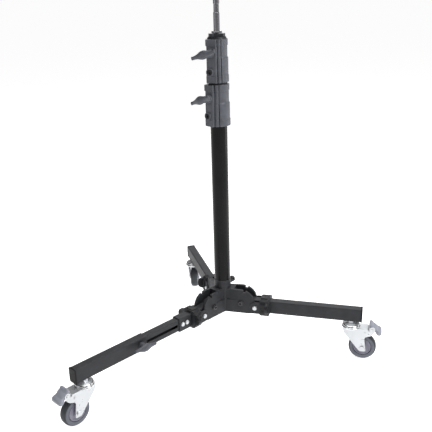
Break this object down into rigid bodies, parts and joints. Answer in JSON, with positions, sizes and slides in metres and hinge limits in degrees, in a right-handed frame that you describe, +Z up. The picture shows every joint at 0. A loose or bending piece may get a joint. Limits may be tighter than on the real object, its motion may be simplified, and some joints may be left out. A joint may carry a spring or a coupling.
{
  "type": "rolling light stand",
  "caption": "Rolling light stand with a telescoping column, T-handle clamp collars, folding tube legs with sliding locks, braked swivel casters and a top stud",
  "frame": {"origin": "centre of the bottom of the bounding box, on the floor under the casters", "axes": "+Z up along the column, -Y along the telescoping leg, the other legs towards +X and -X"},
  "size_m": [0.793, 0.8448, 0.972],
  "materials": {
    "gloss_black": "gloss black lacquer",
    "charcoal": "satin charcoal powder coat",
    "cast_grey": "satin slate cast aluminium",
    "black_plastic": "moulded black plastic",
    "black_steel": "black oxide steel",
    "zinc": "bright zinc",
    "chrome": "polished",
    "tyre": "grey rubber",
    "hub": "grey plastic",
    "pedal": "light grey plastic"
  },
  "bodies": {
    "base": {"column_tube": "gloss_black", "base_socket": "charcoal", "base_plate_ab": "charcoal", "base_plate_bc": "charcoal", "base_plate_ca": "charcoal", "leg_pivot_bolts": "black_steel", "base_tie_pins": "black_steel", "base_eye_lug": "charcoal", "lower_collar": "cast_grey", "lower_collar_screw": "black_steel", "lower_guide_ring": "black_plastic"},
    "riser_1": {"riser_1_tube": "gloss_black", "riser_1_bush": "black_plastic", "upper_collar": "cast_grey", "upper_collar_screw": "black_steel", "upper_guide_ring": "black_plastic"},
    "riser_2": {"riser_2_tube": "gloss_black", "riser_2_bush": "black_plastic", "top_cup": "chrome", "stud": "chrome"},
    "handle_lower": {"handle_lower": "cast_grey"},
    "shoe_lower": {"shoe_lower": "black_plastic"},
    "handle_upper": {"handle_upper": "cast_grey"},
    "shoe_upper": {"shoe_upper": "black_plastic"},
    "leg_a": {"leg_a_tube": "charcoal", "leg_a_end_cap": "black_plastic", "caster_a_stem": "zinc"},
    "leg_c": {"leg_c_tube": "charcoal", "leg_c_end_cap": "black_plastic", "caster_c_stem": "zinc"},
    "leg_b": {"leg_b_root": "charcoal", "leg_b_rail": "charcoal", "leg_b_bolts": "zinc"},
    "leg_b_outer": {"leg_b_tube": "charcoal", "leg_b_end_cap": "black_plastic", "caster_b_stem": "zinc"},
    "leg_b_handle": {"leg_b_handle": "cast_grey"},
    "leg_b_shoe": {"leg_b_shoe": "black_plastic"},
    "lock_a": {"lock_fork_a": "charcoal", "lock_collar_a": "black_plastic", "lock_pin_a": "zinc"},
    "lock_b": {"lock_fork_b": "charcoal", "lock_collar_b": "black_plastic", "lock_pin_b": "zinc"},
    "lock_c": {"lock_fork_c": "charcoal", "lock_collar_c": "black_plastic", "lock_pin_c": "zinc"},
    "fork_a": {"caster_a_fork": "zinc"},
    "wheel_a": {"caster_a_wheel": "hub", "caster_a_tyre": "tyre"},
    "pedal_a": {"caster_a_pedal": "pedal"},
    "fork_b": {"caster_b_fork": "zinc"},
    "wheel_b": {"caster_b_wheel": "hub", "caster_b_tyre": "tyre"},
    "pedal_b": {"caster_b_pedal": "pedal"},
    "fork_c": {"caster_c_fork": "zinc"},
    "wheel_c": {"caster_c_wheel": "hub", "caster_c_tyre": "tyre"},
    "pedal_c": {"caster_c_pedal": "pedal"}
  },
  "joints": [
    {"name": "riser_1_slide", "type": "slide", "parent": "base", "child": "riser_1", "axis": [0, 0, 1], "range_m": [0, 0.42]},
    {"name": "riser_2_slide", "type": "slide", "parent": "riser_1", "child": "riser_2", "axis": [0, 0, 1], "range_m": [0, 0.45]},
    {"name": "handle_lower_turn", "type": "hinge", "parent": "base", "child": "handle_lower", "pos_m": [-0.00672, 0.09891, 0.7285], "axis": [0, -1, 0], "range_deg": [0, 270]},
    {"name": "shoe_lower_move", "type": "slide", "parent": "base", "child": "shoe_lower", "axis": [0, -1, 0], "range_m": [0, 0.0012]},
    {"name": "handle_upper_turn", "type": "hinge", "parent": "riser_1", "child": "handle_upper", "pos_m": [0.00881, 0.10083, 0.8428], "axis": [0.2907, -0.9568, 0], "range_deg": [0, 270]},
    {"name": "shoe_upper_move", "type": "slide", "parent": "riser_1", "child": "shoe_upper", "axis": [0.2907, -0.9568, 0], "range_m": [0, 0.0012]},
    {"name": "fold_a", "type": "hinge", "parent": "base", "child": "leg_a", "pos_m": [0.04307, 0.18966, 0.144], "axis": [0.5, -0.866, 0], "range_deg": [0, 90]},
    {"name": "lock_a_slide", "type": "slide", "parent": "leg_a", "child": "lock_a", "axis": [0.866, 0.5, 0], "range_m": [-0.006, 0]},
    {"name": "fold_b", "type": "hinge", "parent": "base", "child": "leg_b", "pos_m": [-0.00672, 0.10341, 0.144], "axis": [-1, 0, 0], "range_deg": [0, 90]},
    {"name": "lock_b_slide", "type": "slide", "parent": "leg_b", "child": "lock_b", "axis": [0, -1, 0], "range_m": [-0.006, 0]},
    {"name": "fold_c", "type": "hinge", "parent": "base", "child": "leg_c", "pos_m": [-0.05652, 0.18966, 0.144], "axis": [0.5, 0.866, 0], "range_deg": [0, 90]},
    {"name": "lock_c_slide", "type": "slide", "parent": "leg_c", "child": "lock_c", "axis": [-0.866, 0.5, 0], "range_m": [-0.006, 0]},
    {"name": "leg_b_extend", "type": "slide", "parent": "leg_b", "child": "leg_b_outer", "axis": [0, 1, 0], "range_m": [0, 0.112]},
    {"name": "leg_b_handle_turn", "type": "hinge", "parent": "leg_b_outer", "child": "leg_b_handle", "pos_m": [0.02428, -0.15709, 0.1335], "axis": [1, 0, 0], "range_deg": [0, 270]},
    {"name": "leg_b_shoe_move", "type": "slide", "parent": "leg_b_outer", "child": "leg_b_shoe", "axis": [1, 0, 0], "range_m": [0, 0.0012]},
    {"name": "swivel_a", "type": "hinge", "parent": "leg_a", "child": "fork_a", "pos_m": [0.31198, 0.34491, 0.095], "axis": [0, 0, 1], "continuous": true},
    {"name": "roll_a", "type": "hinge", "parent": "fork_a", "child": "wheel_a", "pos_m": [0.34099, 0.36166, 0.038], "axis": [-0.5, 0.866, 0], "continuous": true},
    {"name": "brake_a", "type": "hinge", "parent": "fork_a", "child": "pedal_a", "pos_m": [0.3629, 0.37431, 0.0972], "axis": [-0.5, 0.866, 0], "range_deg": [0, 10]},
    {"name": "swivel_b", "type": "hinge", "parent": "leg_b_outer", "child": "fork_b", "pos_m": [-0.00672, -0.32959, 0.095], "axis": [0, 0, 1], "continuous": true},
    {"name": "roll_b", "type": "hinge", "parent": "fork_b", "child": "wheel_b", "pos_m": [-0.00672, -0.36309, 0.038], "axis": [1, 0, 0], "continuous": true},
    {"name": "brake_b", "type": "hinge", "parent": "fork_b", "child": "pedal_b", "pos_m": [-0.00672, -0.38839, 0.0972], "axis": [1, 0, 0], "range_deg": [0, 10]},
    {"name": "swivel_c", "type": "hinge", "parent": "leg_c", "child": "fork_c", "pos_m": [-0.32629, 0.34541, 0.095], "axis": [0, 0, 1], "continuous": true},
    {"name": "roll_c", "type": "hinge", "parent": "fork_c", "child": "wheel_c", "pos_m": [-0.34826, 0.37069, 0.038], "axis": [-0.7547, -0.6561, 0], "continuous": true},
    {"name": "brake_c", "type": "hinge", "parent": "fork_c", "child": "pedal_c", "pos_m": [-0.36486, 0.38979, 0.0972], "axis": [-0.7547, -0.6561, 0], "range_deg": [0, 10]}
  ],
  "couplings": [
    {"joint": "shoe_lower_move", "follows": "handle_lower_turn", "m_per_rad": 0.00023873},
    {"joint": "shoe_upper_move", "follows": "handle_upper_turn", "m_per_rad": 0.00023873},
    {"joint": "leg_b_shoe_move", "follows": "leg_b_handle_turn", "m_per_rad": 0.00023873}
  ]
}
